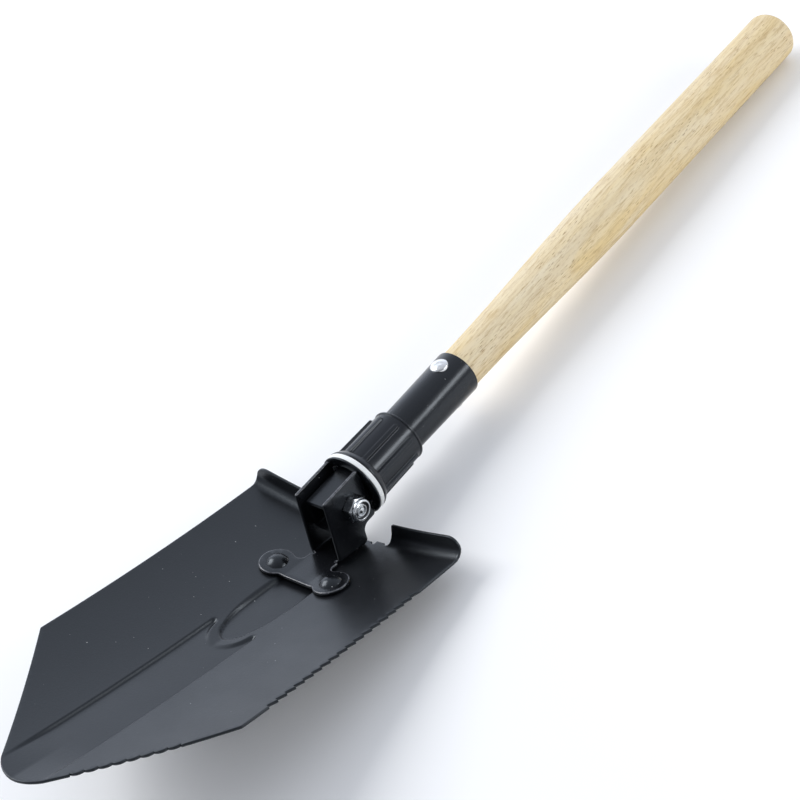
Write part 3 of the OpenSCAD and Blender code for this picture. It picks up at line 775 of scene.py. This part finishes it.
def hinge_bracket():
    """The folded plate, with its points close together in the folds and along the ears' creases."""
    bend = [FOLD_X + FOLD_ARC * k / 7 for k in range(8)]
    folds = grid(both_sides(bend), steps_between((-22, 1.0), (0, 1.0)))
    fan = [CREASE_X + 0.5 * k for k in range(8)]
    creases = grid(both_sides(fan), steps_between((-50, 1.5), (-23.5, 1.5)))
    plates = grid(steps_between((-50, 3.0), (50, 3.0)), steps_between((-52, 3.0), (15, 3.0)))
    clear = 3.5
    u, v = abs(plates[:, 0]), plates[:, 1]
    near_fold = (abs(u - FOLD_X - FOLD_ARC / 2) < clear) & (v > RELIEF_V - 1)
    near_crease = (abs(u - CREASE_X - clear / 2) < clear) & (v < RELIEF_V)
    plates = plates[~(near_fold | near_crease)]
    bolt_u, bolt_v, _ = on_blank(0, 0)
    holes = hole_pair(bolt_u, bolt_v, BOLT_R + 0.12, 40) + hole_pair(RIVET_X, EAR_V, RIVET_HOLE_R)
    fill = np.concatenate([folds, creases, plates])
    shape = sheet([bracket_outline()] + holes, fill, bracket_surface, PLATE_T, PLATE_EDGE)
    # The plate's upward cut edges get the painted edge highlight, a lighter grey than the coat.
    piece("bracket_plate", shape, "blade_assembly", ["hinge_bracket"], "black_coat", 50, "bracket_coat",
          "edge_wear_and_painted_highlight")


def at_rivet(side):
    """Frame of a rivet: its local Z stands on the ear, from the ear's underside."""
    base = Matrix.Translation((0, 0, BASE_Z)) @ Matrix.Rotation(-BASE_PITCH, 4, "X")
    roll = Matrix.Translation((side * CREASE_X, 0, 0)) @ Matrix.Rotation(-side * EAR_ROLL, 4, "Y")
    return base @ roll @ Matrix.Translation((side * (RIVET_X - CREASE_X), EAR_V, 0))


def blade_rivets():
    """Domed heads with a thin rim, and flat closed heads under the blade."""
    dome_r, dome_h, dome_steps, seat = 6.3, 3.2, 14, 1.84
    rim_r, shank_r, closed_r, closed_low, closed_top = 6.55, 3.0, 5.0, -3.9, -2.9
    ball = (dome_r ** 2 + dome_h ** 2) / (2 * dome_h)
    lean = math.asin(dome_r / ball)
    turns = [lean * (1 - k / dome_steps) for k in range(dome_steps)]
    dome = [(ball * math.sin(t), seat + dome_h - ball * (1 - math.cos(t))) for t in turns]
    dome.append((CORE_R, seat + dome_h))
    under = rounded([
        (CORE_R, closed_low), (closed_r, closed_low, 0.6), (closed_r, closed_top, 0.2),
        (shank_r, closed_top, 0.1), (shank_r, seat, 0.1), (rim_r, seat, 0.15),
        (rim_r, seat + 0.3, 0.15), dome[0],
    ], 3, closed=False)
    profile = under + dome[1:]
    shapes = [turned(lambda a: profile, around(72), at_rivet(side)) for side in (1, -1)]
    piece("rivet_pair", join(*shapes), "blade_assembly", ["blade_rivets"], "black_coat", 60,
          "bracket_coat")


# ---------------- pivot bolt, washer and locknut


def hex_radius(a, flat=HEX_AF / 2, corner=0.45):
    """Radius of a hexagon with slightly rounded corners, at an angle from one corner."""
    turn = math.remainder(a, math.pi / 3)
    centre = (flat - corner) / math.cos(math.pi / 6)
    touch = math.atan2(corner * 0.5, centre + corner * math.cos(math.pi / 6))
    if abs(turn) < touch:
        return centre * math.cos(turn) + math.sqrt(corner ** 2 - (centre * math.sin(turn)) ** 2)
    return flat / math.cos(math.pi / 6 - abs(turn))


def hex_angles():
    """Angles round a hexagon, close together at its corners."""
    return sectors((0, 0.6, 1.2, 1.8, 2.6, 5, 9, 14, 20, 26, 30), 6)


def thread(radius, depth, pitch, starts, h, a):
    """Radius on a rounded thread, at a height and an angle."""
    phase = (h / pitch - starts * a / math.tau) % 1.0
    return radius - depth * float(smooth(abs(2 * phase - 1) * 1.5 - 0.25))


def pivot_nut():
    """Locknut: chamfered hexagon, then a round crown folded in over the nylon ring."""
    hex_h, crown_r, lip_r, pocket_r, gap = 5.8, 6.35, 4.95, 5.3, 0.05
    foot_r, neck_r, bevel = 6.35, 6.3, 0.08

    def profile(a):
        r = hex_radius(a)
        low = (r - foot_r) * CHAMFER
        flank = [(6.2, 0.0), (foot_r, 0.02), (r - bevel, low), (r, low + 0.1)]
        flank += [(r, hex_h - low - 0.35), (r - bevel, hex_h - low - 0.25)]
        flank += [(6.45, hex_h - 0.2), (neck_r, hex_h - bevel)]
        crown = rounded([
            (neck_r, hex_h - bevel), (crown_r, hex_h + 0.2, 0.15), (crown_r, NUT_H, 0.9),
            (lip_r, NUT_H, 0.25), (lip_r, NUT_H - 0.8), (pocket_r, NUT_H - 0.85),
            (pocket_r, hex_h - 0.1), (BOLT_R + gap, hex_h - 0.1), (BOLT_R + gap, 0.3),
            (BOLT_R + 0.35, 0.0),
        ], 5, closed=False)
        return flank + crown[1:]

    place = along_pivot(PLATE_HALF)
    piece("locknut", turned(profile, hex_angles(), place), "blade_assembly", ["pivot_nut"], "zinc", 34)
    inner, outer, top = BOLT_R + 0.04, pocket_r - gap, NUT_H - 0.9
    insert = ring([(inner, hex_h), (outer, hex_h), (outer, top, 0.3), (inner, top, 0.3)], place, 72)
    piece("locknut_ring", insert, "blade_assembly", ["nut_insert"], "insert_nylon")


def pivot_bolt():
    """Hexagon-headed bolt; its thread ends in the locknut's mouth, with a ring groove in its end face."""
    head_x = -PLATE_HALF - BOLT_WASHER_T - HEAD_H
    end = PLATE_HALF + NUT_H - 0.3 - head_x
    thread_start, pitch, depth, rows, run_in = end - 9.5, 1.25, 0.55, 62, 8
    face_r, bevel, fillet = 6.2, 0.08, 0.25

    def profile(a):
        r = hex_radius(a)
        low = (r - face_r) * CHAMFER
        head = [(CORE_R, 0.25), (4.6, 0.25), (5.0, 0.06), (5.9, 0.0), (6.15, 0.02)]
        head += [(r - bevel, low), (r, low + 0.1), (r, HEAD_H - 0.45), (r - 0.1, HEAD_H - 0.33)]
        head += [(face_r, HEAD_H - 0.3), (6.15, HEAD_H)]
        shank = [(BOLT_R + fillet, HEAD_H), (BOLT_R, HEAD_H + fillet), (BOLT_R, thread_start)]
        for k in range(1, rows + 1):
            h = thread_start + (end - depth - thread_start) * k / rows
            shank.append((thread(BOLT_R, depth * min(1.0, k / run_in), pitch, 1, h, a), h))
        tip = [(BOLT_R - 0.4, end - 0.25), (BOLT_R - 0.6, end - 0.05), (3.05, end), (2.75, end - 0.1)]
        groove = [(2.5, end - 0.9), (1.95, end - 0.9), (1.7, end - 0.2), (1.2, end), (CORE_R, end)]
        return head + shank + tip + groove

    piece("hinge_bolt", turned(profile, hex_angles(), along_pivot(head_x)),
          "blade_assembly", ["pivot_bolt"], "zinc", 34)
    inner, outer, top = BOLT_R + fillet, BOLT_WASHER_R, BOLT_WASHER_T
    washer = ring([(inner, 0, 0.15), (outer, 0, 0.35), (outer, top, 0.35), (inner, top, 0.15)],
                  along_pivot(-PLATE_HALF - BOLT_WASHER_T))
    piece("plain_washer", washer, "blade_assembly", ["bolt_washer"], "zinc")


# ---------------- thrust washers and collar


def thrust_washers():
    """The black steel plate against the bracket, and the white nylon washer behind it."""
    around_steps, bite = 160, 0.02
    plate = ring([
        (SLIP_R, 0, 0.2), (WASHER_R, 0, 0.35), (WASHER_R, THRUST_T, 0.3), (SLIP_R, THRUST_T, 0.2),
    ], along_handle(PLATE_Y), around_steps)
    piece("steel_thrust_plate", plate, "thrust_washers", ["thrust_plate"], "black_coat", 38,
          "bracket_coat")
    washer = ring([
        (SLIP_R, bite, 0.3), (WASHER_R, bite, 0.35), (WASHER_R, NYLON_T, 0.5), (SLIP_R, NYLON_T, 0.3),
    ], along_handle(PLATE_Y + THRUST_T), around_steps)
    piece("nylon_thrust_washer", washer, "thrust_washers", ["nylon_washer"], "white_nylon")


COLLAR_Y = PLATE_Y + THRUST_T + NYLON_T + 0.1
FLANGE_H, FRONT_CHAMFER = 4.9, 0.12
RIB_W, RIB_END, RIB_TURN, RIB_CREST, RIB_TAPER = 3.1, 33.4, math.radians(20), 17.75, 0.5


def collar_radius(a, h):
    """Outside of the collar: a front flange that slopes down to the body, and ribs that fade into it."""
    slope = [(0.0, WASHER_R - 0.1), (0.6, WASHER_R), (1.6, WASHER_R - 0.4), (4.2, 17.6), (FLANGE_H, COLLAR_R)]
    rib_start, mean_r, fillet = 3.2, 17.0, 0.45
    body = float(np.interp(h, [p[0] for p in slope], [p[1] for p in slope]))
    if h <= rib_start:
        return body
    swing = math.remainder(a - RIB_TURN, math.tau / COLLAR_RIBS)
    off = math.hypot(swing * mean_r, max(0.0, h - (RIB_END - RIB_W / 2))) - RIB_W / 2
    crest = RIB_CREST - RIB_TAPER * h / COLLAR_L
    return max(body, body + (crest - body) * float(smooth(fillet - off)))


def locking_collar():
    """The moulded collar: flange, body with ribs, rear rim, and a bore that opens at both ends."""
    heights = [0.5, 1.2, 1.9, 2.6, 3.3, 3.8, 4.3, 4.7]
    heights += steps_between((FLANGE_H, 2.0), (31.0, 0.25), (33.9, 0.8), (COLLAR_L - 2.4, 0.8))
    front = [(THREAD_R + 0.9, 0.0), (THREAD_R + 1.3, 0.0), (WASHER_R - 0.5, 0.0)]
    front.append((WASHER_R - 0.16, FRONT_CHAMFER))
    rim_r, mouth_r, bore_r = 16.4, 14.4, THREAD_R + 0.1
    tail = rounded([
        (COLLAR_R, COLLAR_L - 2.3), (COLLAR_R, COLLAR_L - 1.7, 0.3), (rim_r, COLLAR_L - 1.5, 0.25),
        (rim_r, COLLAR_L, 0.85), (mouth_r, COLLAR_L, 0.4), (bore_r, COLLAR_L - 1.1), (bore_r, 0.8),
    ], 4, closed=False)

    def profile(a):
        return front + [(collar_radius(a, h), h) for h in heights] + tail

    turns = (0, 1.8, 2.9, 3.6, 4.2, 4.8, 5.4, 6.0, 6.7, 8.0, 10.5, 13.2, 16.4, 20.0)
    shape = turned(profile, sectors(turns, COLLAR_RIBS, RIB_TURN), along_handle(COLLAR_Y))
    piece("ribbed_collar", shape, "collar", ["locking_collar"], "collar_plastic", 55)


# ---------------- socket, thread and handle


def socket():
    """Drawn tube: slim under the collar's thread, then opening a little to its mouth."""
    step_y, shoulder_r = SLEEVE_END + 0.2, 13.4
    tube = ring([
        (SOCKET_BORE_R, SLEEVE_START, 0.3), (STEP_R, SLEEVE_START, 0.3), (STEP_R, step_y),
        (shoulder_r, step_y, 0.4), (MOUTH_R, MOUTH_Y, 0.45), (WOOD_NECK_R + 0.1, MOUTH_Y, 0.3),
        (SOCKET_BORE_R, WOOD_START - 1),
    ], along_handle(0), 160)
    piece("socket", tube, "grip", ["socket_tube"], "black_gloss")


def thread_sleeve():
    """Male thread that the collar runs on: four starts, so that one turn moves it 8 mm."""
    depth, pitch, starts, rows, run_in = 0.75, 2.0, 4, 116, 1.2
    bore_r = STEP_R + 0.02

    def profile(a):
        made = [(bore_r, SLEEVE_END), (bore_r, SLEEVE_START)]
        for k in range(rows + 1):
            h = SLEEVE_START + (SLEEVE_END - SLEEVE_START) * k / rows
            lead = min(1.0, (h - SLEEVE_START) / run_in + 0.05, (SLEEVE_END - h) / run_in + 0.05)
            crest = THREAD_R - depth * (1 - lead)
            made.append((min(crest, thread(THREAD_R, depth, pitch, starts, h, a)), h))
        return made

    piece("collar_thread", turned(profile, around(144), along_handle(0)), "grip", ["thread_sleeve"],
          "black_coat", 60)


def handle():
    """Turned handle: slim in the socket, swelling to the grip, with a rounded end."""
    swell_lead, step = 1.7, 12.0
    stations = steps_between((0, 4.0), (SWELL_L, step), (WOOD_END - MOUTH_Y - WOOD_ROUND, step))
    grown = [float(smooth((t + swell_lead) / SWELL_L)) for t in stations]
    swell = [(WOOD_NECK_R + (WOOD_R - WOOD_NECK_R) * g, MOUTH_Y + t) for g, t in zip(grown, stations)]
    end_centre = (WOOD_R - WOOD_ROUND, WOOD_END - WOOD_ROUND)
    end = arc(end_centre, WOOD_ROUND, 0, math.pi / 2, 10)[1:]
    end += [(8.0, WOOD_END), (4.0, WOOD_END), (CORE_R, WOOD_END)]
    start = [(CORE_R, WOOD_START), (11.4, WOOD_START), (11.9, WOOD_START + 0.5)]
    profile = start + swell + end
    piece("wooden_handle", turned(lambda a: profile, around(128), along_handle(0)), "grip", ["handle"],
          "wood")


def handle_rivet():
    """Rivet through socket and wood: a low dome with a setting dent on top and a burr washer below."""
    crown, ball, shank_r, burr_z = 16.1, 9.0, 2.5, -15.35
    dent_turn, dent_long, dent_wide, dent_deep, dent_aside = math.radians(35), 2.3, 1.1, 0.4, 0.5
    sunk = 0.25
    place = Matrix.Translation((0, HANDLE_RIVET_Y, 0))

    def tube_at(r, a):
        """Height of the socket's outside at a point round the rivet."""
        return math.sqrt(MOUTH_R ** 2 - (r * math.cos(a)) ** 2)

    def dome(r, a):
        """Height of the dented head."""
        u = r * math.cos(a - dent_turn)
        v = r * math.sin(a - dent_turn) + dent_aside
        dent = dent_deep * math.exp(-((u / dent_long) ** 2 + (v / dent_wide) ** 2) ** 1.5)
        return crown - ball + math.sqrt(ball ** 2 - r * r) - dent

    def rivet(a):
        rim = dome(HANDLE_RIVET_R, a)
        made = [(CORE_R, -16.6), (3.2, -16.6), (3.7, -16.35), (4.0, -15.4), (shank_r, -15.3)]
        made += [(shank_r, tube_at(shank_r, a) - sunk), (HANDLE_RIVET_R, tube_at(HANDLE_RIVET_R, a) - sunk)]
        made += [(HANDLE_RIVET_R, rim - 0.35), (HANDLE_RIVET_R - 0.12, rim - 0.08)]
        made += [(r, dome(r, a)) for r in np.linspace(HANDLE_RIVET_R - 0.4, 0.3, 15)]
        made.append((CORE_R, dome(0.0, a)))
        return made

    def washer(a):
        seat = [(r, -tube_at(r, a) + 0.05) for r in (2.6, 3.5, 4.4, 5.1)]
        return [(2.6, burr_z), (5.0, burr_z), (5.25, burr_z + 0.25), (5.3, seat[-1][1])] + seat[::-1]

    for name, profile, node in (("socket_rivet", rivet, "handle_rivet"),
                                ("rivet_burr", washer, "rivet_washer")):
        piece(name, turned(profile, around(72), place), "grip", [node], "bright_steel", 50)


def keep_cad(node, slot, bevel, paint=None):
    """A CAD node that stays: its edges are rounded by modifiers, and it gets a material."""
    kept = frame["nodes"][node]
    kept.data.materials.clear()
    kept.data.materials.append(MATERIALS[paint or slot])
    weld = kept.modifiers.new("weld", "WELD")
    weld.merge_threshold = SLIVER
    flat = kept.modifiers.new("flat", "DECIMATE")
    flat.decimate_type = "DISSOLVE"
    flat.angle_limit = math.radians(1)
    edge = kept.modifiers.new("edge", "BEVEL")
    edge.width = bevel * MM
    edge.segments = 3
    edge.limit_method = "ANGLE"
    edge.angle_limit = math.radians(32)
    edge.harden_normals = True


# ---------------- all the pieces

blade()
hinge_bracket()
blade_rivets()
pivot_nut()
pivot_bolt()
thrust_washers()
locking_collar()
socket()
thread_sleeve()
handle()
handle_rivet()
keep_cad("tang", "black_coat", 0.6, "bracket_coat")
keep_cad("pivot_bush", "zinc", 0.2)
keep_cad("tang_pins", "zinc", 0.3)

# ---------------- floor, light and camera


def floor():
    """A wide pale floor."""
    mesh = bpy.data.meshes.new("floor")
    reach, pale = 12.0, 0.94
    corners = [(-reach, -reach, 0), (reach, -reach, 0), (reach, reach, 0), (-reach, reach, 0)]
    mesh.from_pydata(corners, [], [(0, 1, 2, 3)])
    made = bpy.data.objects.new("floor", mesh)
    bpy.context.scene.collection.objects.link(made)
    paint = bpy.data.materials.new("floor")
    paint.use_nodes = True
    shader = paint.node_tree.nodes["Principled BSDF"]
    shader.inputs["Base Color"].default_value = (pale, pale, pale, 1)
    shader.inputs["Roughness"].default_value = 0.9
    mesh.materials.append(paint)


def softbox(name, direction, distance, width, height, radiance):
    """A rectangular light that looks at the collar, in a direction from it, with sizes in metres."""
    aim = LAY @ Vector((0, 30, 0))
    way = Vector(direction).normalized()
    light = bpy.data.lights.new(name, "AREA")
    light.shape = "RECTANGLE"
    light.size, light.size_y = width, height
    light.energy = math.pi * radiance * width * height
    made = bpy.data.objects.new(name, light)
    made.location = aim + way * distance
    made.rotation_mode = "QUATERNION"
    made.rotation_quaternion = (-way).to_track_quat("-Z", "Y")
    bpy.context.scene.collection.objects.link(made)


def sky():
    """Soft light all round: bright near the horizon behind the shovel, and dim behind the camera."""
    behind, strength = (-0.82, 0.57, 0.0), 1.55
    world = bpy.data.worlds.new("studio")
    bpy.context.scene.world = world
    world.use_nodes = True
    tree = world.node_tree
    where = tree.nodes.new("ShaderNodeTexCoord")
    along_view = tree.nodes.new("ShaderNodeVectorMath")
    along_view.operation = "DOT_PRODUCT"
    along_view.inputs[1].default_value = behind
    ramp = tree.nodes.new("ShaderNodeMapRange")
    ramp.inputs["From Min"].default_value = -1.0
    colours = tree.nodes.new("ShaderNodeValToRGB")
    stops = [(0.0, 0.14), (0.5, 0.42), (0.8, 0.52), (0.9, 0.66), (1.0, 1.0)]
    while len(colours.color_ramp.elements) < len(stops):
        colours.color_ramp.elements.new(0.5)
    for element, (place, level) in zip(colours.color_ramp.elements, stops):
        element.position = place
        blue = 0.05 + 0.05 * place
        element.color = ((1 - blue) * level, (1 - blue / 3) * level, (1 + blue) * level, 1)
    tree.links.new(where.outputs["Generated"], along_view.inputs[0])
    tree.links.new(along_view.outputs["Value"], ramp.inputs["Value"])
    tree.links.new(ramp.outputs["Result"], colours.inputs["Fac"])
    tree.links.new(colours.outputs["Color"], tree.nodes["Background"].inputs["Color"])
    tree.nodes["Background"].inputs["Strength"].default_value = strength


def camera():
    """Stands above the shovel, on its +X side and towards the tip, and looks just behind the collar."""
    azimuth, elevation, roll = math.radians(54.86), math.radians(38.77), math.radians(-24.45)
    distance = 1.05768
    aim = LAY @ Vector((0, 64.78, 17.66))
    back = Vector((math.sin(azimuth) * math.cos(elevation), -math.cos(azimuth) * math.cos(elevation),
                   math.sin(elevation)))
    data = bpy.data.cameras.new("camera")
    data.lens = 86.95
    data.sensor_width = 36.0
    data.clip_start, data.clip_end = 0.05, 60.0
    made = bpy.data.objects.new("camera", data)
    made.location = aim + back * distance
    made.rotation_mode = "QUATERNION"
    made.rotation_quaternion = (-back).to_track_quat("-Z", "Y") @ Quaternion((0, 0, 1), roll)
    bpy.context.scene.collection.objects.link(made)
    bpy.context.scene.camera = made


floor()
sky()
softbox("side", (-0.70, -0.12, 0.70), distance=2.0, width=1.2, height=1.2, radiance=5.5)
softbox("strip", (0.797, 0.470, 0.360), distance=1.3, width=1.1, height=0.22, radiance=8.0)
camera()
bpy.context.scene.view_settings.view_transform = "Standard"
